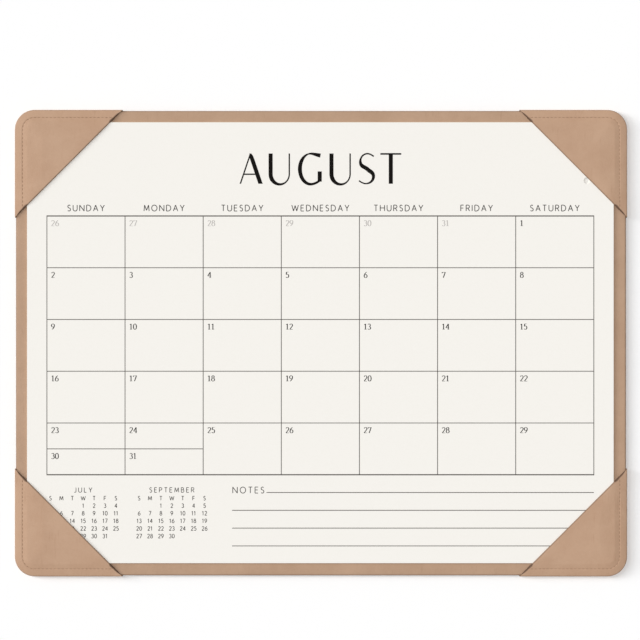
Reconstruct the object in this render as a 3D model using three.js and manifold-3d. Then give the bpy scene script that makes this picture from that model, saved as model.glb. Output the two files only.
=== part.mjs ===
// Desk pad calendar: a leatherette holder with four folded corner pockets and a pad of monthly leaves.
// Millimetres, +Z up. X runs along the long side and Y points to the head of the page.
// The origin is the middle of the holder's outline, on the surface that it lies on.
import * as THREE from "three";
import { mergeVertices } from "three/addons/utils/BufferGeometryUtils.js";
import Module from "manifold-3d";

const wasm = await Module();
wasm.setup();

// Holder
const holderWidth = 533.4;
const holderDepth = 406.4;
const holderCornerRadius = 17.2;
const leatherThickness = 0.8;
const glueLine = 0.1;
const boardThickness = 2.4;
const boardEdgeRadius = 0.7;
const edgeBend = 1.0;
const coverTurnIn = 15;
const liningThickness = 0.6;
const liningInset = 5;
const liningEase = 0.5;
const liningRamp = 2;

// Pad of leaves: the holder less its rim on both sides, lying a little off its middle
const rimBesidePad = 11.3;
const rimAbovePad = 11.35;
const padWidth = holderWidth - 2 * rimBesidePad;
const padDepth = holderDepth - 2 * rimAbovePad;
const padCornerRadius = 6.35;
const padShiftX = -0.55;
const padShiftY = 0.28;

// Corner pockets: each rises over the pad's side from a seam on the rim
const pocketLeg = 94;
const pocketTurnIn = 12;
const riseToPad = 2.95;
const narrowRim = Math.min(rimBesidePad - Math.abs(padShiftX), rimAbovePad - Math.abs(padShiftY));
const riseStart = narrowRim - riseToPad;
const riseRun = 2.1;
const riseBend = 1.2;
const seamToRise = 1.2;
const seamInset = riseStart - seamToRise;
const seamWidth = 1.4;
const seamDepth = 0.25;
const pocketClearance = 0.2;
const hemWidth = 12;
const foldGap = 0.2;

// Thicknesses and hole of the pad
const backingThickness = 0.7;
const leavesThickness = 1.6;
const gumThickness = 0.4;
const hangingHole = { diameter: 5.6, fromRight: 23.2, fromTop: 50.6 };

// Printed ruling
const inkThickness = 0.05;
const columns = 7;
const rows = 5;
const splitColumns = 2;
const gridFromSides = 17.19;
const gridFromTop = 81.35;
const gridFromBottom = 76.95;
const cellWidth = (padWidth - 2 * gridFromSides) / columns;
const cellDepth = (padDepth - gridFromTop - gridFromBottom) / rows;
const ruleWidth = 0.45;
const frameRuleWidth = 0.65;
const noteRules = 4;
const noteRulePitch = 15.5;
const noteRuleLength = 315.1;
const noteWordLength = 30;

// Smoothness of arcs, in flat steps
const cornerSteps = 7;
const bendSteps = 3;
const foldSteps = 6;
const holeSteps = 24;

// Heights, stacked from the surface that the holder lies on
const layer = leatherThickness + glueLine;
const pocketUnderZ = liningThickness + glueLine;
const coverUnderZ = pocketUnderZ + layer;
const boardZ = coverUnderZ + layer;
const coverTopZ = boardZ + boardThickness + glueLine;
const padZ = coverTopZ + leatherThickness;
const leavesZ = padZ + backingThickness;
const pageZ = leavesZ + leavesThickness;
const borderZ = padZ + glueLine + seamDepth;
const hemZ = pageZ + pocketClearance;
const flapZ = hemZ + leatherThickness + foldGap;

// Outlines of the layers, from the pockets inwards
const pocketOutline = outline(holderWidth, holderDepth, holderCornerRadius, 0);
const coverOutline = outline(holderWidth, holderDepth, holderCornerRadius, layer);
const boardOutline = outline(holderWidth, holderDepth, holderCornerRadius, 2 * layer);
const liningOutline = outline(holderWidth, holderDepth, holderCornerRadius, liningInset);

const leather = new THREE.MeshStandardMaterial({ color: 0xbc9a7e, roughness: 0.55, metalness: 0 });
const suede = new THREE.MeshStandardMaterial({ color: 0x8a6f5a, roughness: 0.95, metalness: 0 });
const greyboard = new THREE.MeshStandardMaterial({ color: 0x9b958b, roughness: 0.9, metalness: 0 });
const whiteBoard = new THREE.MeshStandardMaterial({ color: 0xf1efe9, roughness: 0.8, metalness: 0 });
const paper = new THREE.MeshStandardMaterial({ color: 0xf5f2ec, roughness: 0.85, metalness: 0 });
const gum = new THREE.MeshStandardMaterial({ color: 0xe4ddcf, roughness: 0.5, metalness: 0 });
const ink = new THREE.MeshStandardMaterial({ color: 0x6a6764, roughness: 0.8, metalness: 0 });

function outline(width, depth, radius, inset) {
  return { halfX: width / 2 - inset, halfY: depth / 2 - inset, radius: radius - inset };
}

// A closed geometry as a solid that can be joined and cut.
function solidOf(geometry) {
  const bare = geometry.clone();
  bare.deleteAttribute("normal");
  bare.deleteAttribute("uv");
  const merged = mergeVertices(bare, 1e-4);
  return new wasm.Manifold(
    new wasm.Mesh({
      numProp: 3,
      vertProperties: merged.attributes.position.array,
      triVerts: new Uint32Array(merged.index.array),
    }),
  );
}

function geometryOf(solid) {
  const mesh = solid.getMesh();
  const geometry = new THREE.BufferGeometry();
  geometry.setAttribute("position", new THREE.BufferAttribute(mesh.vertProperties, 3));
  geometry.setIndex(new THREE.BufferAttribute(mesh.triVerts, 1));
  geometry.computeVertexNormals();
  return geometry;
}

function named(name, geometry, material) {
  const mesh = new THREE.Mesh(geometry, material);
  mesh.name = name;
  return mesh;
}

// A rectangle with round corners, centred on the origin.
function roundedShape({ halfX, halfY, radius }) {
  const shape = new THREE.Shape();
  const x = halfX - radius;
  const y = halfY - radius;
  shape.absarc(x, y, radius, 0, Math.PI / 2, false);
  shape.absarc(-x, y, radius, Math.PI / 2, Math.PI, false);
  shape.absarc(-x, -y, radius, Math.PI, 1.5 * Math.PI, false);
  shape.absarc(x, -y, radius, 1.5 * Math.PI, 2 * Math.PI, false);
  shape.closePath();
  return shape;
}

function plate(shape, z, thickness) {
  const options = { depth: thickness, bevelEnabled: false, curveSegments: cornerSteps };
  return new THREE.ExtrudeGeometry(shape, options).translate(0, 0, z);
}

// A bent line: straight runs between corner points { d, z, bend }, each corner rounded to its bend radius.
function bentLine(corners, steps) {
  const line = [];
  corners.forEach((corner, i) => {
    const here = new THREE.Vector2(corner.d, corner.z);
    if (!corner.bend || i === 0 || i === corners.length - 1) {
      line.push(here);
      return;
    }
    const before = new THREE.Vector2(corners[i - 1].d, corners[i - 1].z).sub(here).normalize();
    const after = new THREE.Vector2(corners[i + 1].d, corners[i + 1].z).sub(here).normalize();
    const half = Math.acos(THREE.MathUtils.clamp(before.dot(after), -1, 1)) / 2;
    const centre = before.clone().add(after).normalize().multiplyScalar(corner.bend / Math.sin(half));
    centre.add(here);
    const cut = corner.bend / Math.tan(half);
    const first = here.clone().addScaledVector(before, cut).sub(centre);
    const turn = Math.PI - 2 * half;
    const side = Math.sign(after.cross(before));
    for (let k = 0; k <= steps; k++) {
      const step = first.clone().rotateAround(new THREE.Vector2(), (side * turn * k) / steps);
      line.push(step.add(centre));
    }
  });
  return line;
}

// The closed section of a sheet that follows a bent line: the line moved half a thickness to each side.
function sheetSection(line, thickness) {
  const sides = [[], []];
  line.forEach((point, i) => {
    const before = line[Math.max(i - 1, 0)];
    const after = line[Math.min(i + 1, line.length - 1)];
    const arriving = (i > 0 ? point.clone().sub(before) : after.clone().sub(point)).normalize();
    const leaving = (i < line.length - 1 ? after.clone().sub(point) : arriving.clone()).normalize();
    const middle = arriving.clone().add(leaving).normalize();
    const reach = thickness / 2 / middle.dot(arriving);
    const normal = new THREE.Vector2(-middle.y, middle.x);
    sides[0].push({ point: point.clone().addScaledVector(normal, reach), index: i });
    sides[1].push({ point: point.clone().addScaledVector(normal, -reach), index: i });
  });
  return [...sides[0], ...sides[1].reverse()];
}

// Stations round one corner of an outline: each has a point on the outline, the way inwards and the way along.
function cornerStations({ halfX, halfY, radius }, signX, signY) {
  const stations = [];
  for (let k = 0; k <= cornerSteps; k++) {
    const angle = (k / cornerSteps) * (Math.PI / 2);
    const outX = signX * Math.sin(angle);
    const outY = signY * Math.cos(angle);
    stations.push({
      x: signX * (halfX - radius) + radius * outX,
      y: signY * (halfY - radius) + radius * outY,
      inX: -outX,
      inY: -outY,
    });
  }
  return stations;
}

// A section carried through stations. Each section vertex can slide along the outline at a station.
function sweep(section, stations, closed) {
  const positions = [];
  stations.forEach((station) => {
    section.forEach(({ point, index }) => {
      const slide = station.slides ? station.slides[index] : 0;
      positions.push(
        station.x + station.inX * point.x + (station.alongX ?? 0) * slide,
        station.y + station.inY * point.x + (station.alongY ?? 0) * slide,
        point.y,
      );
    });
  });
  const count = section.length;
  const faces = [];
  const links = closed ? stations.length : stations.length - 1;
  for (let s = 0; s < links; s++) {
    const near = s * count;
    const far = ((s + 1) % stations.length) * count;
    for (let k = 0; k < count; k++) {
      const next = (k + 1) % count;
      faces.push(near + k, near + next, far + next);
      faces.push(near + k, far + next, far + k);
    }
  }
  if (!closed) {
    const contour = section.map(({ point }) => point);
    const last = (stations.length - 1) * count;
    THREE.ShapeUtils.triangulateShape(contour, []).forEach(([a, b, c]) => {
      const turn = THREE.ShapeUtils.area([contour[a], contour[b], contour[c]]);
      const [p, q, r] = turn * THREE.ShapeUtils.area(contour) > 0 ? [a, b, c] : [a, c, b];
      faces.push(p, r, q);
      faces.push(last + p, last + q, last + r);
    });
  }
  return facingOut(positions, faces);
}

// Turns every triangle round if the closed surface holds a negative volume.
function facingOut(positions, faces) {
  const geometry = new THREE.BufferGeometry();
  geometry.setAttribute("position", new THREE.Float32BufferAttribute(positions, 3));
  const corner = (k) => new THREE.Vector3().fromArray(positions, 3 * k);
  let volume = 0;
  for (let i = 0; i < faces.length; i += 3) {
    volume += corner(faces[i]).dot(corner(faces[i + 1]).cross(corner(faces[i + 2])));
  }
  geometry.setIndex(volume > 0 ? faces : [...faces].reverse());
  return geometry;
}

// Greyboard core of the holder, its cut edges eased so that they don't wear through the leatherette.
function makeBoard() {
  const board = new THREE.ExtrudeGeometry(roundedShape(boardOutline), {
    depth: boardThickness - 2 * boardEdgeRadius,
    bevelSize: boardEdgeRadius,
    bevelThickness: boardEdgeRadius,
    bevelOffset: -boardEdgeRadius,
    bevelSegments: bendSteps,
    curveSegments: cornerSteps,
  });
  return named("base_board", board.translate(0, 0, boardZ + boardEdgeRadius), greyboard);
}

// One leatherette sheet over the board, bent round its edges and turned in underneath.
function makeCover() {
  const middle = leatherThickness / 2;
  const lap = coverTurnIn - 1;
  const line = bentLine(
    [
      { d: coverTurnIn, z: coverTopZ + middle },
      { d: middle, z: coverTopZ + middle, bend: edgeBend },
      { d: middle, z: coverUnderZ + middle, bend: edgeBend },
      { d: coverTurnIn, z: coverUnderZ + middle },
    ],
    bendSteps,
  );
  const stations = [
    ...cornerStations(coverOutline, 1, 1),
    ...cornerStations(coverOutline, 1, -1).reverse(),
    ...cornerStations(coverOutline, -1, -1),
    ...cornerStations(coverOutline, -1, 1).reverse(),
  ];
  const wrap = solidOf(sweep(sheetSection(line, leatherThickness), stations, true));
  const panelOutline = outline(2 * coverOutline.halfX, 2 * coverOutline.halfY, coverOutline.radius, lap);
  const panel = solidOf(plate(roundedShape(panelOutline), coverTopZ, leatherThickness));
  return named("base_cover", geometryOf(wrap.add(panel)), leather);
}

// The bent line of a pocket's leatherette: flap, rise over the pad, pressed seam, outer edge, turn-in.
function pocketLine() {
  const middle = leatherThickness / 2;
  const flat = riseStart + riseRun + 2 * riseBend;
  return bentLine(
    [
      { d: flat, z: flapZ + middle },
      { d: riseStart + riseRun, z: flapZ + middle, bend: riseBend },
      { d: riseStart, z: borderZ + middle, bend: riseBend / 4 },
      { d: seamInset + seamWidth / 2, z: borderZ + middle },
      { d: seamInset, z: borderZ + middle - seamDepth },
      { d: seamInset - seamWidth / 2, z: borderZ + middle },
      { d: middle, z: borderZ + middle, bend: edgeBend },
      { d: middle, z: pocketUnderZ + middle, bend: edgeBend },
      { d: pocketTurnIn, z: pocketUnderZ + middle },
    ],
    bendSteps,
  );
}

// How far each point of the pocket's line reaches along its leg: the sheet's edge is one straight cut at
// 45 degrees before the sheet is bent round the board, so it slants back again on the side and underneath.
function pocketReaches(line) {
  const topEdge = line.findIndex(({ x }) => x < leatherThickness / 2 + 1e-6);
  let beyond = 0;
  return line.map((point, i) => {
    if (i <= topEdge) return pocketLeg - point.x;
    beyond += point.distanceTo(line[i - 1]);
    return pocketLeg - line[topEdge].x + beyond;
  });
}

const pocketUnderReach = Math.max(...pocketReaches(pocketLine()));

// A pocket in the frame of its own corner: the square outer corner is the origin, and X and Y run inwards.
function makePocketGeometry() {
  const line = pocketLine();
  const section = sheetSection(line, leatherThickness);
  const radius = pocketOutline.radius;
  const corner = cornerStations({ halfX: 0, halfY: 0, radius: -radius }, 1, 1).map((station) => ({
    ...station,
    inX: -station.inX,
    inY: -station.inY,
  }));
  const slides = pocketReaches(line).map((reach) => reach - radius);
  const legX = { ...corner[0], alongX: 1, alongY: 0, slides };
  const legY = { ...corner[cornerSteps], alongX: 0, alongY: 1, slides };
  const border = solidOf(sweep(section, [legX, ...corner, legY], false));

  const foldRadius = (leatherThickness + foldGap) / 2;
  const nose = foldRadius + leatherThickness / 2;
  const inset = riseStart + riseRun + riseBend;
  const tip = pocketLeg - inset - nose * Math.SQRT2;
  const flapShape = new THREE.Shape();
  flapShape.moveTo(tip, inset);
  flapShape.lineTo(inset, tip);
  flapShape.lineTo(inset, radius);
  flapShape.absarc(radius, radius, radius - inset, Math.PI, 1.5 * Math.PI, false);
  flapShape.closePath();
  const flap = solidOf(plate(flapShape, flapZ, leatherThickness));
  return geometryOf(border.add(flap).add(pocketHem(foldRadius, inset)));
}

// The hem: along the diagonal the sheet is folded back under itself.
function pocketHem(foldRadius, inset) {
  const middle = leatherThickness / 2;
  const nose = foldRadius + middle;
  const line = [new THREE.Vector2(hemWidth, hemZ + middle)];
  for (let k = 0; k <= foldSteps; k++) {
    const angle = -Math.PI / 2 - (Math.PI * k) / foldSteps;
    const centreZ = hemZ + middle + foldRadius;
    line.push(new THREE.Vector2(nose + foldRadius * Math.cos(angle), centreZ + foldRadius * Math.sin(angle)));
  }
  line.push(new THREE.Vector2(2 * nose, flapZ + middle));
  const section = sheetSection(line, leatherThickness).map(({ point }) => point);
  const length = pocketLeg * Math.SQRT2;
  const strip = new THREE.ExtrudeGeometry(new THREE.Shape(section), { depth: length, bevelEnabled: false });
  const back = new THREE.Vector3(-1, -1, 0).normalize();
  const up = new THREE.Vector3(0, 0, 1);
  const along = back.clone().cross(up);
  strip.applyMatrix4(new THREE.Matrix4().makeBasis(back, up, along).setPosition(pocketLeg, 0, 0));
  const room = new THREE.Shape();
  room.moveTo(inset, inset);
  room.lineTo(pocketLeg, inset);
  room.lineTo(inset, pocketLeg);
  room.closePath();
  return solidOf(strip).intersect(solidOf(plate(room, 0, 2 * flapZ)));
}

// The same folded pocket, mirrored into each corner of the holder.
function makePockets() {
  const geometry = makePocketGeometry();
  const corners = [
    ["pocket_top_left", -1, 1],
    ["pocket_top_right", 1, 1],
    ["pocket_bottom_left", -1, -1],
    ["pocket_bottom_right", 1, -1],
  ];
  return corners.map(([name, signX, signY]) => {
    const pocket = named(name, geometry, leather);
    pocket.scale.set(-signX, -signY, 1);
    pocket.position.set(signX * pocketOutline.halfX, signY * pocketOutline.halfY, 0);
    return pocket;
  });
}

// How far a bump of one layer still lifts the lining, d from the outer edge: 1 under it, 0 past the ramp.
function liftPast(d, end) {
  return 1 - THREE.MathUtils.clamp((d - end - liningEase) / liningRamp, 0, 1);
}

// The lining sheet is pressed up against the board and steps down over the turned-in leatherette.
function makeLining() {
  const coverEnd = layer + coverTurnIn;
  const breaks = [
    0,
    pocketTurnIn + liningEase,
    pocketTurnIn + liningEase + liningRamp,
    coverEnd + liningEase,
    coverEnd + liningEase + liningRamp,
    pocketUnderReach + liningEase,
    pocketUnderReach + liningEase + liningRamp,
  ];
  const across = (half) => [...breaks.map((d) => d - half), ...breaks.map((d) => half - d).reverse()];
  const xs = across(pocketOutline.halfX);
  const ys = across(pocketOutline.halfY);
  const height = (x, y) => {
    const dx = pocketOutline.halfX - Math.abs(x);
    const dy = pocketOutline.halfY - Math.abs(y);
    const inCorner = Math.max(dx, dy) < holderCornerRadius;
    const near = inCorner ? 0 : Math.min(dx, dy);
    const overCover = liftPast(near, coverEnd);
    const alongLeg = liftPast(Math.max(dx, dy), pocketUnderReach);
    const overPocket = Math.min(liftPast(near, pocketTurnIn), alongLeg);
    return layer * (2 - overCover - overPocket);
  };
  const positions = [];
  for (const lift of [0, liningThickness]) {
    for (const y of ys) {
      for (const x of xs) positions.push(x, y, height(x, y) + lift);
    }
  }
  const sheet = solidOf(facingOut(positions, gridFaces(xs.length, ys.length)));
  const trim = solidOf(plate(roundedShape(liningOutline), -1, 2 * boardZ));
  return named("base_lining", geometryOf(sheet.intersect(trim)), suede);
}

// Triangles of two stacked grids of points, closed round their rim. Each row of points is nx long.
function gridFaces(nx, ny) {
  const faces = [];
  const top = nx * ny;
  const quad = (a, b, c, d) => faces.push(a, b, c, a, c, d);
  for (let j = 0; j < ny - 1; j++) {
    for (let i = 0; i < nx - 1; i++) {
      const k = j * nx + i;
      quad(k, k + nx, k + nx + 1, k + 1);
      quad(top + k, top + k + 1, top + k + nx + 1, top + k + nx);
    }
  }
  for (let i = 0; i < nx - 1; i++) {
    const last = (ny - 1) * nx + i;
    quad(i, i + 1, top + i + 1, top + i);
    quad(last + 1, last, top + last, top + last + 1);
  }
  for (let j = 0; j < ny - 1; j++) {
    const first = j * nx;
    const end = first + nx - 1;
    quad(first + nx, first, top + first, top + first + nx);
    quad(end, end + nx, top + end + nx, top + end);
  }
  return faces;
}

// Backing card, the block of leaves with its hanging hole, and the gum that binds the leaves at the head.
function makePad() {
  const page = outline(padWidth, padDepth, padCornerRadius, 0);
  const backing = named("pad_backing", plate(roundedShape(page), padZ, backingThickness), whiteBoard);

  const leavesShape = roundedShape(page);
  const hole = new THREE.Path();
  const points = [];
  for (let k = 0; k < holeSteps; k++) {
    const angle = (2 * Math.PI * k) / holeSteps;
    const x = page.halfX - hangingHole.fromRight + (hangingHole.diameter / 2) * Math.cos(angle);
    const y = page.halfY - hangingHole.fromTop + (hangingHole.diameter / 2) * Math.sin(angle);
    points.push(new THREE.Vector2(x, y));
  }
  hole.setFromPoints(points);
  leavesShape.holes.push(hole);
  const leaves = named("sheet_block", plate(leavesShape, leavesZ, leavesThickness), paper);

  const gumLength = padWidth - 2 * padCornerRadius;
  const gumHeight = backingThickness + leavesThickness;
  const strip = new THREE.BoxGeometry(gumLength, gumThickness, gumHeight);
  strip.translate(0, page.halfY + gumThickness / 2, padZ + gumHeight / 2);
  return [backing, leaves, named("gummed_edge", strip, gum)];
}

// The two edges of each line of a set of parallel lines, in rising order.
function lineEdges(centres, widths) {
  return centres.flatMap((centre, i) => [centre - widths[i] / 2, centre + widths[i] / 2]);
}

// A flat solid of the filled cells of a grid, whose columns and rows lie between rising break values.
function latticeGeometry(xs, ys, filled, z, thickness) {
  const nx = xs.length;
  const positions = [];
  for (const level of [z, z + thickness]) {
    for (const y of ys) {
      for (const x of xs) positions.push(x, y, level);
    }
  }
  const upper = nx * ys.length;
  const faces = [];
  const quad = (a, b, c, d) => faces.push(a, b, c, a, c, d);
  const wall = (from, to) => quad(from, to, upper + to, upper + from);
  const isFilled = (i, j) => i >= 0 && j >= 0 && i < nx - 1 && j < ys.length - 1 && filled(i, j);
  for (let j = 0; j < ys.length - 1; j++) {
    for (let i = 0; i < nx - 1; i++) {
      if (!isFilled(i, j)) continue;
      const k = j * nx + i;
      quad(k, k + nx, k + nx + 1, k + 1);
      quad(upper + k, upper + k + 1, upper + k + nx + 1, upper + k + nx);
      if (!isFilled(i, j - 1)) wall(k, k + 1);
      if (!isFilled(i + 1, j)) wall(k + 1, k + nx + 1);
      if (!isFilled(i, j + 1)) wall(k + nx + 1, k + nx);
      if (!isFilled(i - 1, j)) wall(k + nx, k);
    }
  }
  return facingOut(positions, faces);
}

// The month's ruled cells as one lattice. The last row's first cells are split to hold two dates each.
function makeMonthGrid() {
  const left = (-columns * cellWidth) / 2;
  const bottom = padDepth / 2 - gridFromTop - rows * cellDepth;
  const lineXs = Array.from({ length: columns + 1 }, (_, i) => left + i * cellWidth);
  const rowYs = Array.from({ length: rows + 1 }, (_, j) => bottom + j * cellDepth);
  const lineYs = [rowYs[0], bottom + cellDepth / 2, ...rowYs.slice(1)];
  const widths = lineYs.map((_, j) => (j === 0 || j === rows + 1 ? frameRuleWidth : ruleWidth));
  const xs = lineEdges(lineXs, lineXs.map(() => ruleWidth));
  const ys = lineEdges(lineYs, widths);
  const splitRow = 2;
  const onVertical = (i) => i % 2 === 0;
  const onHorizontal = (i, j) => j % 2 === 0 && (j !== splitRow || i < 2 * splitColumns);
  const filled = (i, j) => onVertical(i) || onHorizontal(i, j);
  return named("month_grid", latticeGeometry(xs, ys, filled, pageZ, inkThickness), ink);
}

// Writing rules below the month. The first one leaves room for its heading word.
function makeNoteRules() {
  const right = (columns * cellWidth) / 2;
  const bottom = padDepth / 2 - gridFromTop - rows * cellDepth;
  return Array.from({ length: noteRules }, (_, i) => {
    const length = i === 0 ? noteRuleLength - noteWordLength : noteRuleLength;
    const y = bottom - (i + 1) * noteRulePitch;
    const rule = new THREE.BoxGeometry(length, ruleWidth, inkThickness);
    rule.translate(right - length / 2, y, pageZ + inkThickness / 2);
    return named(`note_rule_${i + 1}`, rule, ink);
  });
}

const holder = new THREE.Group();
holder.add(makeBoard(), makeCover(), makeLining(), ...makePockets());

const pad = new THREE.Group();
pad.position.set(padShiftX, padShiftY, 0);
pad.add(...makePad(), makeMonthGrid(), ...makeNoteRules());

const calendar = new THREE.Group();
calendar.add(holder, pad);

export default calendar;
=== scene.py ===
# %% [markdown]
# A desk pad calendar, seen from straight above
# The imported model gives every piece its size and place. This file dresses it: it models the folded
# leatherette, the stack of leaves and the printed letters finely, and gives each surface its material.

# %% Load the model as a fixed frame
import math

import bmesh
import bpy
import numpy as np
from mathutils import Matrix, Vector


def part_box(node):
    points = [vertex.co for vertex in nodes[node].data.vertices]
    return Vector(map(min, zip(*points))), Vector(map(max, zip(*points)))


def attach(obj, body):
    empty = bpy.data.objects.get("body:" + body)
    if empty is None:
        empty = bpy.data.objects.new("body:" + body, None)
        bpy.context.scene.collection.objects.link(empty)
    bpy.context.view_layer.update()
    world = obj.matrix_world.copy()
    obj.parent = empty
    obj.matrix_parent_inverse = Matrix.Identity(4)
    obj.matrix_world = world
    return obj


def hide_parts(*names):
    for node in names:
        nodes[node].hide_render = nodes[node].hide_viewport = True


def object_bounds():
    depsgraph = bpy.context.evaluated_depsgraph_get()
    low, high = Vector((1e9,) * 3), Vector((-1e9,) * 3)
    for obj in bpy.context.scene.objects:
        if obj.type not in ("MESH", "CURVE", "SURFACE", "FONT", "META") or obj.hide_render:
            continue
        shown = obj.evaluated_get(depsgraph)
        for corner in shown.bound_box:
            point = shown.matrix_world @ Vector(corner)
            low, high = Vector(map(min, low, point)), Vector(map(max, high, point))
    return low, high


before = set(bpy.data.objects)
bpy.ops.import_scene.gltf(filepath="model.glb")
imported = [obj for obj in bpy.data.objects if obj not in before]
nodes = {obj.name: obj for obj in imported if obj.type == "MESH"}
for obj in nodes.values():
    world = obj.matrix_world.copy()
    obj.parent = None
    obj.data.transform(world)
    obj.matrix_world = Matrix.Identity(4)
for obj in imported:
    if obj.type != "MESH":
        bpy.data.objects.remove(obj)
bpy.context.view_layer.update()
MM = 0.001

# %% Sizes of the sheets and folds, in metres
leather = 0.8 * MM
glue_line = 0.1 * MM
layer_step = leather + glue_line
corner_radius = 17.2 * MM
pocket_leg = 94 * MM
pocket_turn_in = 12 * MM
cover_turn_in = 15 * MM
seam_inset = 6.6 * MM
seam_width = 1.4 * MM
seam_depth = 0.25 * MM
edge_bend = 1.0 * MM
hem_width = 12 * MM
fold_gap = 0.2 * MM

high_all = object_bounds()[1]
high_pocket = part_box("pocket_top_left")[1]
low_cover, high_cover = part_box("base_cover")
low_leaves, high_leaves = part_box("sheet_block")
page_z = high_leaves.z
print("page surface at", round(page_z / MM, 2), "mm")

# %% [markdown]
# Putting arrays into meshes
# Every new surface is worked out as whole arrays of points. These helpers turn the arrays into a mesh,
# weld the points that coincide where a fold or a corner closes, and shade the round parts smooth.

# %% Helpers: array to object
weld_distance = 0.001 * MM


def placed(name, data):
    """A new object of the scene that holds a mesh, a curve, a lamp or a camera."""
    made = bpy.data.objects.new(name, data)
    bpy.context.scene.collection.objects.link(made)
    return made


def mesh_object(name, points, faces, sharp=35, painted_shade=None):
    """An object from an array of points and a list of faces, with its faces turned outwards.

    Coinciding points are welded, and the mesh is smooth below the sharp angle in degrees. With sharp None
    it stays flat and unwelded. A painted shade value for each point, from 0 to 1, tells its material where
    the sheet is darkened by painted shade.
    """
    mesh = bpy.data.meshes.new(name)
    mesh.from_pydata(points.reshape(-1, 3).tolist(), [], faces)
    # Painted shade: the per-point painted shade values go to the material as an attribute.
    if painted_shade is not None:
        mesh.attributes.new("painted_shade", "FLOAT", "POINT").data.foreach_set("value", painted_shade.ravel())
    work = bmesh.new()
    work.from_mesh(mesh)
    if sharp is not None:
        bmesh.ops.remove_doubles(work, verts=work.verts, dist=weld_distance)
        bmesh.ops.dissolve_degenerate(work, edges=work.edges, dist=weld_distance / 10)
    bmesh.ops.recalc_face_normals(work, faces=work.faces)
    work.to_mesh(mesh)
    work.free()
    if sharp is not None:
        mesh.shade_smooth()
        mesh.set_sharp_from_angle(angle=math.radians(sharp))
    print(name, len(mesh.polygons), "faces")
    return placed(name, mesh)


def grid_quads(index):
    """Quads between the neighbouring points of a 2-D array of point numbers."""
    a, b, c, d = index[:-1, :-1], index[1:, :-1], index[1:, 1:], index[:-1, 1:]
    return np.stack([a, b, c, d], axis=-1).reshape(-1, 4).tolist()


def bar_faces(index):
    """Faces round a bar whose points are numbered ring by ring, and at its two ends."""
    return grid_quads(np.hstack([index, index[:, :1]])) + [index[0].tolist(), index[-1].tolist()]


def at_corner(points, sign_x, sign_y):
    """Points counted inwards from the outer edges, moved to one of the holder's corners."""
    moved = points.copy()
    moved[..., 0] = sign_x * (high_all.x - points[..., 0])
    moved[..., 1] = sign_y * (high_all.y - points[..., 1])
    return moved


def dressed(made, material, replaced=()):
    """Gives a piece its material, says that it rides on the model, and hides the solids that it stands for.
    """
    made.data.materials.clear()
    made.data.materials.append(material)
    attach(made, "root")
    if replaced:
        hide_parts(*replaced)
    return made


# %% [markdown]
# Materials
# The leatherette is a matt tan sheet with a fine pebbled grain of about a millimetre, a faint cloudy
# change of tone and a few fine marks, with painted shade in the pebbles' hollows. Painted shade also
# darkens the pockets' hem folds, for the shadow in the gap under them, and the rounded outer bends.
# The grain is a node group, because the cover, the pockets and the thread all use it. Paper, card and
# print are fibrous: a fine noise gives them tone and a slight bump.

# %% Helpers: colours and nodes
def linear(red, green, blue):
    """A colour given as 0 to 255 on screen, as the linear values that the shaders work with."""
    share = np.array([red, green, blue]) / 255
    value = np.where(share <= 0.04045, share / 12.92, ((share + 0.055) / 1.055) ** 2.4)
    return (*value.tolist(), 1.0)


def new_material(name):
    """A node material with only a Principled shader and an output, and short ways to add and link nodes."""
    material = bpy.data.materials.new(name)
    material.use_nodes = True
    tree = material.node_tree
    tree.nodes.clear()
    shader = tree.nodes.new("ShaderNodeBsdfPrincipled")
    output = tree.nodes.new("ShaderNodeOutputMaterial")
    tree.links.new(shader.outputs["BSDF"], output.inputs["Surface"])
    return material, tree, shader


def feed(socket, value):
    """Sets an input socket to a value, or links the output of another node to it."""
    if isinstance(value, bpy.types.NodeSocket):
        socket.id_data.links.new(value, socket)
    else:
        socket.default_value = value


def adjust(node, **settings):
    """Gives a node its settings, by the names of its attributes or of its input sockets."""
    for key, value in settings.items():
        if hasattr(node, key):
            setattr(node, key, value)
        else:
            feed(node.inputs[key.replace("_", " ")], value)


def add_node(tree, kind, **settings):
    """A new node with its settings."""
    node = tree.nodes.new(kind)
    adjust(node, **settings)
    return node


def math_node(tree, operation, *values, kind="Math"):
    """The output of a Math node, or of a VectorMath node, from its inputs in their order."""
    node = add_node(tree, "ShaderNode" + kind, operation=operation)
    for socket, value in zip(node.inputs, values):
        feed(socket, value)
    return node.outputs[0]


def remapped(tree, value, source, target):
    """The output of a Map Range node that takes the source range of a value to the target range."""
    ends = {"From_Min": source[0], "From_Max": source[1], "To_Min": target[0], "To_Max": target[1]}
    return add_node(tree, "ShaderNodeMapRange", Value=value, **ends).outputs["Result"]


def mixed(tree, factor, first, second, clamp=True):
    """The output of a Mix node between two colours."""
    ends = {"Factor": factor, "A": first, "B": second}
    node = add_node(tree, "ShaderNodeMix", data_type="RGBA", clamp_factor=clamp, **ends)
    return node.outputs["Result"]


def bumped(tree, height, strength, distance):
    """The normal that a Bump node makes from a height."""
    bump = add_node(tree, "ShaderNodeBump", Strength=strength, Distance=distance, Height=height)
    return bump.outputs["Normal"]


# %% The grain group
warp_reach = 0.6 * MM


def grain_sockets(group):
    """The colours and the scale that the grain takes, and what it gives to a shader."""
    for name, kind in (("Dark", "Color"), ("Light", "Color"), ("Pebbles", "Float")):
        group.interface.new_socket(name, in_out="INPUT", socket_type="NodeSocket" + kind)
    for name, kind in (("Color", "Color"), ("Roughness", "Float"), ("Height", "Float")):
        group.interface.new_socket(name, in_out="OUTPUT", socket_type="NodeSocket" + kind)


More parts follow.
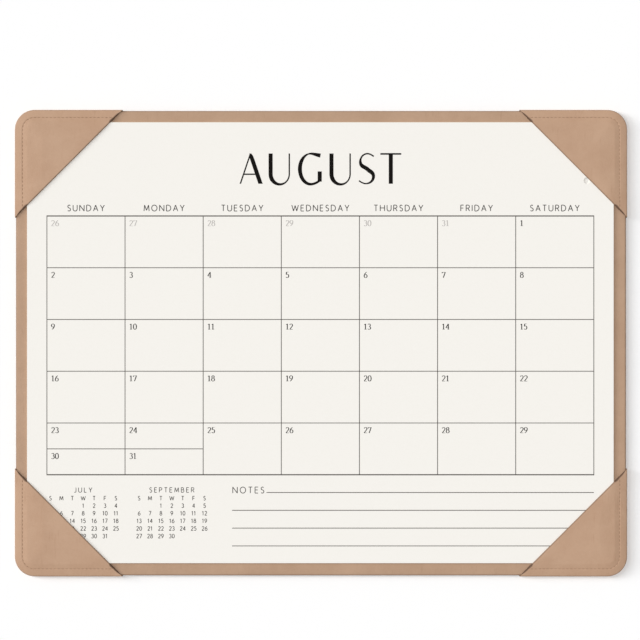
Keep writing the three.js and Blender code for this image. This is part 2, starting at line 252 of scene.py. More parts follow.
def make_grain_group():
    """Pebbles from a smooth Voronoi pattern, warped by noise. The tone between two colours is a slow noise,
    less a third of the pebbles' depth as painted shade in their hollows, and less faint marks from a noise
    stretched eight times along Y."""
    group = bpy.data.node_groups.new("leatherette_grain", "ShaderNodeTree")
    grain_sockets(group)
    given = group.nodes.new("NodeGroupInput").outputs
    end = group.nodes.new("NodeGroupOutput")
    place = group.nodes.new("ShaderNodeTexCoord").outputs["Object"]

    warp = add_node(group, "ShaderNodeTexNoise", Vector=place, Scale=900.0, Detail=2.0).outputs["Color"]
    pushed = math_node(group, "MULTIPLY_ADD", warp, (warp_reach,) * 3, place, kind="VectorMath")
    pebbles = add_node(group, "ShaderNodeTexVoronoi", feature="SMOOTH_F1", Vector=pushed, Smoothness=0.6)
    adjust(pebbles, Scale=given["Pebbles"])
    depth = pebbles.outputs["Distance"]

    clouds = add_node(group, "ShaderNodeTexNoise", Vector=place, Scale=38.0, Detail=6.0, Roughness=0.7)
    long = add_node(group, "ShaderNodeMapping", Vector=place, Scale=(1.0, 0.12, 1.0)).outputs["Vector"]
    scuffs = add_node(group, "ShaderNodeTexNoise", Vector=long, Scale=520.0, Detail=3.0, Roughness=0.5)
    cloudy = remapped(group, clouds.outputs["Fac"], (0.35, 0.65), (0.0, 1.0))
    marks = remapped(group, scuffs.outputs["Fac"], (0.62, 0.75), (0.0, -0.9))
    # Painted shade: the hollows between the pebbles are darkened by a third of their depth.
    dipped = math_node(group, "MULTIPLY_ADD", depth, -0.35, cloudy)
    share = math_node(group, "ADD", marks, dipped)

    adjust(end, Color=mixed(group, share, given["Dark"], given["Light"], clamp=False))
    adjust(end, Roughness=remapped(group, depth, (0.0, 1.0), (0.52, 0.7)))
    adjust(end, Height=math_node(group, "SUBTRACT", 1.0, depth))
    return group


grain_group = make_grain_group()
print("grain group has", len(grain_group.nodes), "nodes")


# %% Leatherette
# Painted shade: the dark tan that stands for the shade in the gaps under folds and on the rounded bends.
painted_shade_tan = linear(96, 72, 55)
grain_depth = 0.2 * MM


def make_leatherette(name, dark, light, pebbles=1100.0, strength=0.25):
    """The grain group in a Principled shader: a matt sheet, darkened towards a dark tan by its painted
    shade attribute.
    """
    material, tree, shader = new_material(name)
    grain = add_node(tree, "ShaderNodeGroup", node_tree=grain_group)
    adjust(grain, Dark=dark, Light=light, Pebbles=pebbles)
    painted_shade = add_node(tree, "ShaderNodeAttribute", attribute_name="painted_shade").outputs["Fac"]
    tone = mixed(tree, painted_shade, grain.outputs["Color"], painted_shade_tan)
    adjust(shader, Base_Color=tone, Roughness=grain.outputs["Roughness"], Specular_IOR_Level=0.3)
    adjust(shader, Normal=bumped(tree, grain.outputs["Height"], strength, grain_depth))
    return material


tan_leatherette = make_leatherette("tan_leatherette", linear(183, 148, 121), linear(190, 156, 129))
rim_leatherette = make_leatherette("rim_leatherette", linear(175, 143, 117), linear(183, 151, 125))
tan_thread = make_leatherette("tan_thread", linear(150, 119, 95), linear(168, 136, 111), 3000.0)
print("leatherette ready")


# %% Paper, card, lining and print
fibre_depth = 0.1 * MM


def make_fibrous(name, dark, light, scale, strength, roughness, specular=0.25, sheen=0.0):
    """Fibres: a fine noise of many octaves, as tone between two colours and as a slight bump."""
    material, tree, shader = new_material(name)
    place = tree.nodes.new("ShaderNodeTexCoord").outputs["Object"]
    fibres = add_node(tree, "ShaderNodeTexNoise", Vector=place, Scale=scale, Detail=6.0, Roughness=0.65)
    fibre = fibres.outputs["Fac"]
    adjust(shader, Base_Color=mixed(tree, fibre, dark, light), Roughness=roughness)
    adjust(shader, Specular_IOR_Level=specular, Sheen_Weight=sheen)
    adjust(shader, Normal=bumped(tree, fibre, strength, fibre_depth))
    return material


cream_paper = make_fibrous("cream_paper", linear(241, 238, 231), linear(245, 242, 237), 700.0, 0.12, 0.85)
white_card = make_fibrous("white_card", linear(238, 236, 230), linear(246, 244, 240), 500.0, 0.15, 0.8)
grey_board = make_fibrous("grey_board", linear(138, 132, 124), linear(168, 162, 152), 900.0, 0.3, 0.9)
pad_gum = make_fibrous("pad_gum", linear(222, 214, 198), linear(233, 226, 212), 300.0, 0.2, 0.45)
suede_dark, suede_light = linear(124, 98, 78), linear(150, 122, 98)
suede_lining = make_fibrous("suede_lining", suede_dark, suede_light, 1400.0, 0.5, 0.95, sheen=0.4)
print_tones = {
    "rule_print": (84, 79, 75),
    "dark_print": (12, 10, 8),
    "name_print": (64, 61, 59),
    "date_print": (40, 38, 36),
    "faint_print": (190, 186, 182),
}
prints = {}
for print_name, tone in print_tones.items():
    darker, lighter = (linear(*(value + step for value in tone)) for step in (-5, 5))
    prints[print_name] = make_fibrous(print_name, darker, lighter, 2500.0, 0.1, 0.8, specular=0.08)
print("paper, card, lining and print ready")

# %% [markdown]
# A bent sheet
# Leatherette goes round the board in small round bends. Its middle line is drawn in section, with d as
# the distance in from the outer edge and z as the height, and then moved half a thickness to each side.

# %% Helpers: the section of a bent sheet
def bent_line(corners, bend_steps=6, run_step=2.5 * MM):
    """Straight runs joined by arcs: each corner (d, z, bend radius) becomes an arc of that radius, whose
    centre lies on the corner's bisector, at the radius divided by the sine of half the corner's angle."""
    points = [np.array(corners[0][:2])]
    for before, here, after in zip(corners, corners[1:], corners[2:]):
        corner, radius = np.array(here[:2]), here[2]
        to_before = np.array(before[:2]) - corner
        to_after = np.array(after[:2]) - corner
        to_before /= np.hypot(*to_before)
        to_after /= np.hypot(*to_after)
        half = math.acos(np.clip(to_before @ to_after, -1, 1)) / 2
        if radius == 0:
            points.append(corner)
            continue
        middle = to_before + to_after
        centre = corner + middle / np.hypot(*middle) * radius / math.sin(half)
        first = corner + to_before * radius / math.tan(half) - centre
        side = np.sign(to_after[0] * to_before[1] - to_after[1] * to_before[0])
        for angle in np.linspace(0, side * (math.pi - 2 * half), bend_steps + 1):
            cos, sin = math.cos(angle), math.sin(angle)
            points.append(centre + np.array([[cos, -sin], [sin, cos]]) @ first)
    points.append(np.array(corners[-1][:2]))
    line = [points[0]]
    for start, end in zip(points, points[1:]):
        steps = max(1, math.ceil(np.hypot(*(end - start)) / run_step))
        line.extend(start + (end - start) * k / steps for k in range(1, steps + 1))
    return np.array(line)


def directions(line):
    """The unit direction of a line at each of its points."""
    along = np.gradient(line, axis=0)
    return along / np.linalg.norm(along, axis=1, keepdims=True)


def line_normals(line):
    """The unit normal at each point of a section: its direction there, turned a quarter. The first one
    points up, so that the side of the sheet that shows is the outer one."""
    normals = directions(line)[:, ::-1] * [1, -1]
    return normals if normals[0][1] > 0 else -normals


# %% [markdown]
# The cover
# One leatherette sheet lies over the board, goes round all four edges and is turned in underneath. Its
# section is carried round the rounded rectangle of the outline, and the flat middle is filled by two faces.

# %% Cover wrapped over the board
# Painted shade darkens the cover's rounded outer bend.
bend_painted_shade = 0.3


def rounded_stations(half_x, half_y, radius, steps=20):
    """Points and inward normals round a rectangle with round corners, counted from the right side."""
    quarter = np.linspace(0, math.pi / 2, steps + 1)
    angles = np.concatenate([quarter + turn * math.pi / 2 for turn in range(4)])
    signs = np.repeat([[1, 1], [-1, 1], [-1, -1], [1, -1]], steps + 1, axis=0)
    out = np.stack([np.cos(angles), np.sin(angles)], axis=1)
    centres = signs * [half_x - radius, half_y - radius]
    return centres + radius * out, -out


def make_cover():
    """The wrap and the two flat middles of the cover, as one closed sheet."""
    top = high_cover.z - leather / 2
    under = low_cover.z + leather / 2
    line = bent_line([
        (cover_turn_in, top, 0),
        (leather / 2, top, edge_bend),
        (leather / 2, under, edge_bend),
        (cover_turn_in, under, 0),
    ])
    normals = line_normals(line)
    points, inward = rounded_stations(high_cover.x, high_cover.y, corner_radius - layer_step)
    sides = []
    for offset in (leather / 2, -leather / 2):
        moved = line + normals * offset
        flat = points[:, None, :] + inward[:, None, :] * moved[None, :, :1]
        height = np.broadcast_to(moved[:, 1], flat.shape[:2])
        sides.append(np.concatenate([flat, height[..., None]], axis=2))
    grid = np.concatenate([sides[0], sides[1][:, ::-1]], axis=1)
    # Painted shade on the points of the outer bend.
    edge = np.where(line[:, 0] < edge_bend, bend_painted_shade, 0.0)
    painted_shade = np.broadcast_to(np.concatenate([edge, edge[::-1]]), grid.shape[:2])
    count = grid.shape[1]
    index = np.arange(grid.shape[0] * count).reshape(-1, count)
    faces = grid_quads(np.vstack([index, index[:1]]))
    faces.append(index[:, 0].tolist())
    faces.append(index[:, -1].tolist())
    return mesh_object("holder_cover", grid, faces, painted_shade=np.ascontiguousarray(painted_shade))


dressed(make_cover(), rim_leatherette, ["base_cover"])

# %% [markdown]
# The corner pockets
# Each pocket is one sheet of leatherette. It lies on the pad as a flap, drops to the rim, is held by a
# pressed seam, goes round the edge and is turned in underneath. Along the diagonal it is folded back
# under itself as a hem. The surface is a grid: one way runs along the section, the other along the
# edge of the holder, round the nose of the hem and back under it. Both legs share the corner's arc.

# %% Section of a pocket
fold_radius = (leather + fold_gap) / 2
rest_z = high_cover.z + glue_line + leather / 2
flap_z = high_pocket.z - leather / 2
border_z = rest_z + seam_depth
under_z = low_cover.z - glue_line - leather / 2
crown_z = border_z + 1.2 * MM
pad_side = 10.9 * MM
pad_side_z = page_z + 0.6 * MM
slope_start = 24 * MM
slope_bend, pad_bend, crown_bend, seam_bend = 30 * MM, 5 * MM, 0.8 * MM, 0.4 * MM
hem_start = 1.3 * MM
hem_lift = 0.75 * MM
hem_ease = hem_width * math.sqrt(2) + 8 * MM


def pocket_section():
    """The middle line of the sheet, from the flap's middle out to the edge: it slopes down to the pad's
    edge, drops to a crowned border, dips at the seam and goes round the edge."""
    tip = (pocket_leg - math.sqrt(2) * (fold_radius + leather / 2)) / 2 - 0.05 * MM
    return bent_line([
        (tip, flap_z, 0),
        (slope_start, flap_z, slope_bend),
        (pad_side, pad_side_z, pad_bend),
        (seam_inset + seam_width / 2, crown_z, crown_bend),
        (seam_inset, crown_z - seam_depth, seam_bend),
        (seam_inset - seam_width / 2, crown_z, seam_bend),
        (leather / 2, border_z, edge_bend),
        (leather / 2, under_z, edge_bend),
        (pocket_turn_in, under_z, 0),
    ], bend_steps=5)


def pocket_ends(line):
    """How far each point reaches along its leg: 45 degrees on top, straight down the side, and slanting
    outwards underneath by as much as the sheet has gone in from the side."""
    edge = int(np.argmax(line[:, 0] < leather / 2 + 1e-8))
    reach = pocket_leg - line[:, 0]
    reach[edge:] = pocket_leg - leather / 2 + np.maximum(line[edge:, 0] - leather / 2, 0)
    return reach


def near_fold(distance):
    """1 at the fold and 0 where the hem's ease ends, with a smooth step between them."""
    near = np.clip(1 - distance / hem_ease, 0, 1)
    return near**2 * (3 - 2 * near)


def taut_lift(line):
    """How far the hem lifts the sheet beside the fold: it runs straight from the side up to the flap."""
    share = np.clip((line[:, 0] - 1.4 * MM) / (pad_side + 2 * MM), 0, 1)
    taut = border_z + hem_lift + (flap_z - border_z - hem_lift) * share
    side = np.clip((line[:, 1] - under_z) / (border_z - under_z), 0, 1)
    return np.maximum(taut - np.maximum(line[:, 1], border_z), 0) * side


def fold_radii(line):
    """The fold's radius at each point. Over the rim the hem lies on the cover while the flap rises to the
    pad, so the fold opens there like a wedge, and it closes again before the pad's edge."""
    top = np.maximum(line[:, 1], border_z) + taut_lift(line)
    wide = np.maximum((top - rest_z) / 2, fold_radius)
    opening = np.clip((pad_side - 0.2 * MM - line[:, 0]) / (1.6 * MM), 0, 1)
    return fold_radius + (wide - fold_radius) * opening


under_reach = pocket_ends(pocket_section()).max()
print("pocket section has", len(pocket_section()), "points")


# %% Surface of a pocket
# Painted shade: faint round the pockets' outer bends, and along the hem's fold for the shadow in the gap
# under it, less where the fold lies over the pad.
outer_bend_painted_shade = 0.2
hem_on_pad_painted_shade = 0.6


def pocket_leg_points(line, normals, reach, side):
    """Points of one leg, side +1 for the outer face and -1 for the inner one, in the corner's own frame.

    The stations run from the corner along the leg, then round the nose, where a point at angle a sits
    at (radius cos a - fold radius) along the normal and radius sin a beyond the fold, then back along
    the hem. Points on the side and underneath have no hem: they stay at the cut edge. The painted shade
    is 1 on the hem over the rim, for the shadow in the gap under the lifted fold, less on the pad, half as
    much at the fold and faint round the outer bend, for the shade of the rounded edge.
    """
    hemmed = (np.arange(len(line)) < np.argmax(line[:, 0] < hem_start)).astype(float)
    bend = fold_radii(line)
    fold = reach - hemmed * (bend + leather / 2) * math.sqrt(2)
    ease = 1 - (1 - np.linspace(0, 1, 26)) ** 1.6
    angles = np.linspace(0, math.pi, 9)[1:]
    backs = np.linspace(0, 1, 4)[1:] * hem_width * math.sqrt(2)
    half = side * leather / 2

    main_off = np.full((len(ease), len(line)), half)
    d_main = line[:, 0] + normals[:, 0] * half
    start = np.maximum(corner_radius, d_main)
    main_s = start + (fold - start) * ease[:, None]
    radius = bend + half
    nose_off = np.cos(angles)[:, None] * radius - bend
    nose_s = fold + math.sqrt(2) * radius * np.sin(angles)[:, None]
    back_off = np.repeat(-(bend + radius)[None, :], len(backs), axis=0)
    mitre = line[:, 0] + normals[:, 0] * back_off
    back_s = np.maximum(fold - backs[:, None], np.maximum(mitre, 0))

    folded = slice(len(ease), None)
    offs = np.vstack([main_off, nose_off, back_off])
    runs = np.vstack([main_s, nose_s, back_s])
    offs[folded] = offs[folded] * hemmed + half * (1 - hemmed)
    runs[folded] = runs[folded] * hemmed + fold * (1 - hemmed)
    d = line[:, 0] + normals[:, 0] * offs
    lift = near_fold(fold - np.minimum(runs, fold))
    lift[folded] = 1
    z = line[:, 1] + normals[:, 1] * offs + taut_lift(line) * lift
    clamped = back_s[-1] > (fold - backs[-1]) + 1e-9
    # Painted shade along the hem's fold and round the outer bend.
    hem_painted_shade = np.where(line[:, 0] < pad_side, 1.0, hem_on_pad_painted_shade)
    on_bend = (line[:, 0] < layer_step) & (line[:, 1] > border_z - edge_bend)
    painted_shade = np.repeat(np.where(on_bend, outer_bend_painted_shade, 0.0)[None, :], len(runs), axis=0)
    painted_shade[len(ease) - 1] += hem_painted_shade / 2
    painted_shade[folded] += hem_painted_shade
    return runs, d, z, clamped & (hemmed > 0), np.minimum(painted_shade, 1)


def pocket_corner_points(line, normals, side, steps=14):
    """The stations round the corner's arc; past the arc's centre they close on the mitre line."""
    angles = np.linspace(0, math.pi / 2, steps + 1)[1:-1]
    d = line[:, 0] + normals[:, 0] * side * leather / 2
    z = line[:, 1] + normals[:, 1] * side * leather / 2
    left = np.maximum(corner_radius - d, 0)
    beyond = np.maximum(d - corner_radius, 0)
    x = corner_radius - np.sin(angles)[:, None] * left + beyond
    y = corner_radius - np.cos(angles)[:, None] * left + beyond
    return np.stack([x, y, np.broadcast_to(z, x.shape)], axis=2)


# %% The four pockets
def make_pocket(name, signs):
    """Joins leg, corner and leg into one closed folded sheet and moves it to its corner of the holder.

    The end of a hem is open where the mitre has cut it short, because the other leg's hem joins it there.
    """
    line = pocket_section()
    normals = line_normals(line)
    reach = pocket_ends(line)
    layers, darkened = [], []
    for side in (1, -1):
        runs, d, z, clamped, painted_shade = pocket_leg_points(line, normals, reach, side)
        leg_x = np.stack([runs, d, z], axis=2)
        leg_y = np.stack([d, runs, z], axis=2)
        corner = pocket_corner_points(line, normals, side)
        layers.append(np.concatenate([leg_x[::-1], corner, leg_y], axis=0))
        darkened.append(np.concatenate([painted_shade[::-1], painted_shade[1 : len(corner) + 1], painted_shade], axis=0))
    grid = np.stack(layers)
    count = grid.shape[2]
    index = np.arange(grid[..., 0].size).reshape(grid.shape[:3])
    outer, inner = index
    faces = grid_quads(outer) + grid_quads(inner)
    faces += grid_quads(np.stack([outer[:, -1], inner[:, -1]]))
    for end in (0, -1):
        cap = np.stack([outer[end], inner[end]])
        for k in range(count - 1):
            if not (clamped[k] and clamped[k + 1]):
                faces += grid_quads(cap[:, k : k + 2])
    stations = len(runs)
    for layer in (outer, inner):
        faces += grid_quads(np.stack([layer[:stations, 0][::-1], layer[-stations:, 0]]))
    points = at_corner(grid, *signs)
    return mesh_object("holder_" + name, points, faces, sharp=50, painted_shade=np.stack(darkened))


pocket_corners = {
    "pocket_top_left": (-1, 1),
    "pocket_top_right": (1, 1),
    "pocket_bottom_left": (-1, -1),
    "pocket_bottom_right": (1, -1),
}
for pocket_name, signs in pocket_corners.items():
    dressed(make_pocket(pocket_name, signs), tan_leatherette, [pocket_name])

# %% [markdown]
# The seam's stitches
# The seam that holds a pocket to the base is sewn in thread of the leatherette's own colour. Each stitch is
# a short rounded rod that lies in the pressed groove, so all of them are one small shape, repeated.

# %% Stitches along the seams
stitch_pitch = 3.4 * MM
stitch_length = 2.5 * MM
thread_radius = 0.24 * MM
thread_rise = 0.1 * MM
end_dip = 0.15 * MM
seam_margin = 2.5 * MM


def stitch_shape(rings=5, sides=6):
    """A rod along X, with t from -1 to 1 along it: its radius is the thread's times the square root of
    1 - t to the fourth, so its ends are round, and they dip into the sheet by the cube of t."""
    t = np.linspace(-1, 1, rings)
    radius = thread_radius * np.maximum(1 - t**4, 0.02) ** 0.5
    angle = np.arange(sides) * 2 * math.pi / sides
    x = np.broadcast_to((t * stitch_length / 2)[:, None], (rings, sides))
    y = radius[:, None] * np.cos(angle)
    z = radius[:, None] * np.sin(angle) - end_dip * np.abs(t)[:, None] ** 3
    return np.stack([x, y, z], axis=2)


def seam_places():
    """Centres, headings and lifts of the stitches, at equal steps along leg, arc and leg of one corner."""
    straight = pocket_leg - seam_inset - seam_margin - corner_radius
    arc_radius = corner_radius - seam_inset
    arc_length = arc_radius * math.pi / 2
    whole = 2 * straight + arc_length
    count = int(whole / stitch_pitch)
    run = (np.arange(count) + 0.5) * whole / count
    angle = np.clip((run - straight) / arc_radius, 0, math.pi / 2)
    before = np.clip(straight - run, 0, None)
    after = np.clip(run - straight - arc_length, 0, None)
    x = corner_radius + before - np.sin(angle) * arc_radius
    y = corner_radius + after - np.cos(angle) * arc_radius
    heading = np.stack([-np.cos(angle), np.sin(angle)], axis=1)
    seam_point = np.array([[seam_inset, crown_z - seam_depth]])
    lift = taut_lift(seam_point) * near_fold(straight - np.maximum(before, after))
    return np.stack([x, y], axis=1), heading, lift


def make_stitches():
    """The rod placed at every stitch of all four corners, in one mesh."""
    shape = stitch_shape()
    rings, sides = shape.shape[:2]
    places, heading, lift = seam_places()
    across = np.stack([-heading[:, 1], heading[:, 0]], axis=1)
    flat = places[:, None, None] + shape[None, ..., :1] * heading[:, None, None]
    flat = flat + shape[None, ..., 1:2] * across[:, None, None]
    seam_z = crown_z + leather / 2 - seam_depth + thread_rise
    z = seam_z + lift[:, None, None] + shape[None, ..., 2]
    corner = np.concatenate([flat, z[..., None]], axis=3)
    points = np.concatenate([at_corner(corner, *signs) for signs in pocket_corners.values()])
    index = np.arange(len(points) * rings * sides).reshape(len(points), rings, sides)
    faces = [face for rod in index for face in bar_faces(rod)]
    return mesh_object("pocket_stitches", points, faces, sharp=80)


stitches = dressed(make_stitches(), tan_thread)

# %% [markdown]
# The pad
# The pad is a stack of thin leaves on a card. Held in the pockets, the leaves lie flat but not quite
# true, so each one is a thin sheet of its own, moved by a hair. The hanging hole goes through all of them.

# %% Stack of leaves
leaf_count = 14
leaf_slip = 0.12 * MM
leaf_gap = 0.004 * MM
pad_corner_radius = 6.35 * MM
hole_radius = 2.8 * MM
hole_from_right = 23.2 * MM
hole_from_top = 50.6 * MM


def leaf_mesh(half_x, half_y, thickness):
    """A rounded rectangle with a round hole, filled between its two loops and given its thickness."""
    outer, _ = rounded_stations(half_x, half_y, pad_corner_radius, steps=8)
    turn = np.linspace(0, 2 * math.pi, 33)[:-1]
    hole = np.stack([np.cos(turn), np.sin(turn)], axis=1) * hole_radius
    hole += [half_x - hole_from_right, half_y - hole_from_top]
    curve = bpy.data.curves.new("leaf_outline", "CURVE")
    curve.dimensions = "2D"
    curve.fill_mode = "BOTH"
    curve.extrude = thickness / 2
    for loop in (outer, hole):
        spline = curve.splines.new("POLY")
        spline.points.add(len(loop) - 1)
        flat = np.column_stack([loop, np.zeros(len(loop)), np.ones(len(loop))])
        spline.points.foreach_set("co", flat.ravel())
        spline.use_cyclic_u = True
    holder = placed("leaf_outline", curve)
    mesh = holder.to_mesh()
    points = np.empty(len(mesh.vertices) * 3)
    mesh.vertices.foreach_get("co", points)
    faces = [list(face.vertices) for face in mesh.polygons]
    holder.to_mesh_clear()
    bpy.data.objects.remove(holder)
    bpy.data.curves.remove(curve)
    return points.reshape(-1, 3), faces


def make_leaves():
    """Copies of one leaf, each a leaf's thickness above the last and slipped by a small seeded amount."""
    slip = np.random.default_rng(7).uniform(-leaf_slip, leaf_slip, (leaf_count, 2))
    slip[-1] = 0
    middle = (low_leaves + high_leaves) / 2
    pitch = (high_leaves.z - low_leaves.z) / leaf_count
    points, faces = leaf_mesh(high_leaves.x - middle.x, high_leaves.y - middle.y, pitch - leaf_gap)
    heights = low_leaves.z + pitch * (np.arange(leaf_count) + 0.5)
    moves = np.column_stack([slip[:, 0] + middle.x, slip[:, 1] + middle.y, heights])
    stack = points[None] + moves[:, None]
    numbered = [[k + n * len(points) for k in face] for n in range(leaf_count) for face in faces]
    return mesh_object("month_leaves", stack, numbered)


dressed(make_leaves(), cream_paper, ["sheet_block"])
for node, finish in {
    "pad_backing": white_card,
    "gummed_edge": pad_gum,
    "base_board": grey_board,
}.items():
    nodes[node].data.materials.clear()
    nodes[node].data.materials.append(finish)

# %% [markdown]
# The lining
# A thin suede-like sheet closes the underside. Pressed down by its glue, it follows the turned-in edges
# as soft steps, lowest where a pocket's turn-in lies on the cover's.

# %% Lining draped over the turned-in edges
lining_thickness = 0.6 * MM
lining_inset = 5 * MM
step_start = 0.5 * MM
step_width = 2.5 * MM
grid_steps = [np.linspace(0, 20, 21), np.linspace(22, 100, 14), np.linspace(102, 122, 11)]


def ramp(distance, end):
    """1 up to just past a sheet's end and 0 beyond it, with a smooth step between them."""
    t = np.clip((distance - end - step_start) / step_width, 0, 1)
    return 1 - t * t * (3 - 2 * t)


def make_lining():
    """A grid pressed into a rounded rectangle: in each corner square a point is drawn in onto arcs.

    Its steps from an edge inwards are closest together where a sheet ends above it. Its height is one
    layer for each turned-in sheet that isn't above it.
    """
    half_x = high_all.x - lining_inset
    half_y = high_all.y - lining_inset
    radius = corner_radius - lining_inset
    steps = np.concatenate(grid_steps) * MM
    x, y = (np.concatenate([steps - half, [0], half - steps[::-1]]) for half in (half_x, half_y))
    x, y = np.meshgrid(x, y, indexing="ij")
    over_x = np.maximum(np.abs(x) - (half_x - radius), 0)
    over_y = np.maximum(np.abs(y) - (half_y - radius), 0)
    both = (over_x > 0) & (over_y > 0)
    shrink = np.where(both, np.maximum(over_x, over_y) / np.maximum(np.hypot(over_x, over_y), 1e-9), 1)
    x = np.where(both, np.sign(x) * (half_x - radius + over_x * shrink), x)
    y = np.where(both, np.sign(y) * (half_y - radius + over_y * shrink), y)
    dx, dy = high_all.x - np.abs(x), high_all.y - np.abs(y)
    near = np.where(np.maximum(dx, dy) < corner_radius, 0, np.minimum(dx, dy))
    over_cover = ramp(near, cover_turn_in + layer_step)
    over_pocket = np.minimum(ramp(near, pocket_turn_in), ramp(np.maximum(dx, dy), under_reach))
    z = layer_step * (2 - over_cover - over_pocket)
    top = np.stack([x, y, z + lining_thickness], axis=2)
    bottom = np.stack([x, y, z], axis=2)
    index = np.arange(2 * x.size).reshape(2, *x.shape)
    faces = grid_quads(index[0]) + grid_quads(index[1])
    for edge in (np.s_[:, 0], np.s_[:, -1], np.s_[0, :], np.s_[-1, :]):
        faces += grid_quads(np.stack([index[0][edge], index[1][edge]]))
    return mesh_object("suede_lining_sheet", np.stack([top, bottom]), faces)


lining = dressed(make_lining(), suede_lining, ["base_lining"])

# %% [markdown]
# Printed letters
# The month, the names of the days and the numbers are plain letters of our own, built as a pen would
# draw them. Each letter is a few strokes, straight or round, in a box one unit high. A stroke becomes
# a thin ribbon of ink, and its width follows a rule: even for the plain letters, and for the dates
# thick where the pen goes down and thin where it goes across.

# %% Strokes of the letters
def arc(x, y, rx, ry, start, end, steps=12):
    """Points of an ellipse's arc, with its angles in degrees."""
    angle = np.radians(np.linspace(start, end, steps + 1))
    return [(x + rx * math.cos(a), y + ry * math.sin(a)) for a in angle]


def letter_strokes():
    """Each letter's width and strokes, by its name. A stroke is a list of points in a box one unit high."""
    stem = [(0, 0), (0, 1)]
    bowl = [(0, 1), (0.28, 1), *arc(0.28, 0.74, 0.27, 0.26, 90, -90), (0, 0.48)]
    six = [arc(0.28, 0.29, 0.26, 0.29, 90, 450, 20), [(0.44, 0.99), (0.2, 0.78), (0.06, 0.5), (0.02, 0.3)]]
    nine = [[(0.54 - x, 1 - y) for x, y in stroke] for stroke in six]
    return {
        "A": (0.74, [[(0, 0), (0.37, 1)], [(0.37, 1), (0.74, 0)], [(0.13, 0.34), (0.61, 0.34)]]),
        "B": (0.57, [stem, [(0, 1), (0.26, 1), *arc(0.26, 0.76, 0.23, 0.24, 90, -90), (0, 0.52)],
                     [(0.24, 0.52), (0.3, 0.52), *arc(0.3, 0.26, 0.27, 0.26, 90, -90), (0, 0)]]),
        "D": (0.72, [stem, [(0, 1), (0.22, 1), *arc(0.22, 0.5, 0.5, 0.5, 90, -90), (0, 0)]]),
        "E": (0.5, [stem, [(0, 1), (0.5, 1)], [(0, 0.52), (0.44, 0.52)], [(0, 0), (0.5, 0)]]),
        "F": (0.48, [stem, [(0, 1), (0.48, 1)], [(0, 0.5), (0.42, 0.5)]]),
        "H": (0.72, [stem, [(0.72, 0), (0.72, 1)], [(0, 0.52), (0.72, 0.52)]]),
        "I": (0.02, [stem]),
        "J": (0.35, [[(0.35, 1), (0.35, 0.22), *arc(0.13, 0.22, 0.22, 0.22, 0, -130)]]),
        "L": (0.45, [stem, [(0, 0), (0.45, 0)]]),
        "M": (0.86, [[(0, 0), (0.1, 1)], [(0.1, 1), (0.43, 0.12)], [(0.43, 0.12), (0.76, 1)],
                     [(0.76, 1), (0.86, 0)]]),
        "N": (0.74, [stem, [(0, 1), (0.74, 0)], [(0.74, 0), (0.74, 1)]]),
        "O": (0.9, [arc(0.45, 0.5, 0.45, 0.5, 90, 450, 28)]),
        "P": (0.55, [stem, bowl]),
        "R": (0.58, [stem, bowl, [(0.28, 0.48), (0.58, 0)]]),
        "S": (0.5, [arc(0.26, 0.76, 0.22, 0.24, 35, 270) + arc(0.24, 0.26, 0.24, 0.26, 90, -145)]),
        "T": (0.6, [[(0, 1), (0.6, 1)], [(0.3, 1), (0.3, 0)]]),
        "U": (0.68, [[(0, 1), (0, 0.34), *arc(0.34, 0.34, 0.34, 0.34, 180, 360, 16), (0.68, 1)]]),
        "W": (1.1, [[(0, 1), (0.28, 0)], [(0.28, 0), (0.55, 0.92)], [(0.55, 0.92), (0.82, 0)],
                    [(0.82, 0), (1.1, 1)]]),
        "Y": (0.66, [[(0, 1), (0.33, 0.46)], [(0.66, 1), (0.33, 0.46)], [(0.33, 0.46), (0.33, 0)]]),
        "0": (0.56, [arc(0.28, 0.5, 0.27, 0.5, 90, 450, 24)]),
        "1": (0.4, [[(0.02, 0.8), (0.22, 1)], [(0.22, 1), (0.22, 0)]]),
        "2": (0.55, [[*arc(0.27, 0.74, 0.24, 0.26, 165, -38), (0.02, 0.01)], [(0.02, 0.01), (0.54, 0.01)]]),
        "3": (0.52, [arc(0.24, 0.75, 0.21, 0.25, 150, -90), arc(0.24, 0.26, 0.26, 0.26, 90, -150)]),
        "4": (0.56, [[(0.42, 0), (0.42, 1)], [(0.42, 1), (0, 0.3)], [(0, 0.3), (0.56, 0.3)]]),
        "5": (0.52, [[(0.48, 1), (0.12, 1)], [(0.12, 1), (0.07, 0.55)],
                     arc(0.24, 0.32, 0.26, 0.32, 130, -145, 16)]),
        "6": (0.54, six),
        "7": (0.54, [[(0, 1), (0.54, 1)], [(0.54, 1), (0.18, 0)]]),
        "8": (0.54, [arc(0.27, 0.77, 0.2, 0.23, 90, 450, 20), arc(0.27, 0.28, 0.26, 0.28, 90, 450, 20)]),
        "9": (0.54, nine),
    }


letters = letter_strokes()
print(len(letters), "letters and numbers")


# %% Ribbons of ink
ink_thickness = 0.03 * MM


def ink_layer(order):
    """The thickness of a letter's stroke: a tenth more for each one before it, so that none lie level."""
    return ink_thickness * (1 + 0.1 * order)


def smooth_stroke(points, step):
    """The stroke's points at equal steps along it."""
    line = np.array(points, float)
    run = np.concatenate([[0], np.cumsum(np.hypot(*np.diff(line, axis=0).T))])
    count = max(2, math.ceil(run[-1] / step) + 1)
    even = np.linspace(0, run[-1], count)
    return np.column_stack([np.interp(even, run, line[:, 0]), np.interp(even, run, line[:, 1])])


def ribbon(line, width, thickness):
    """A closed flat bar along a line: four points at each step, half a width to each side of it."""
    across = directions(line)[:, ::-1] * [-1, 1] * (width / 2)[:, None]
    ring = [(across, 0), (across, thickness), (-across, thickness), (-across, 0)]
    heights = [np.full(len(line), page_z + rise) for _, rise in ring]
    return np.stack([np.column_stack([line + side, z]) for (side, _), z in zip(ring, heights)], axis=1)


def plain_pen(width):
    """The same width all along a stroke."""
    return lambda line: np.full(len(line), width)


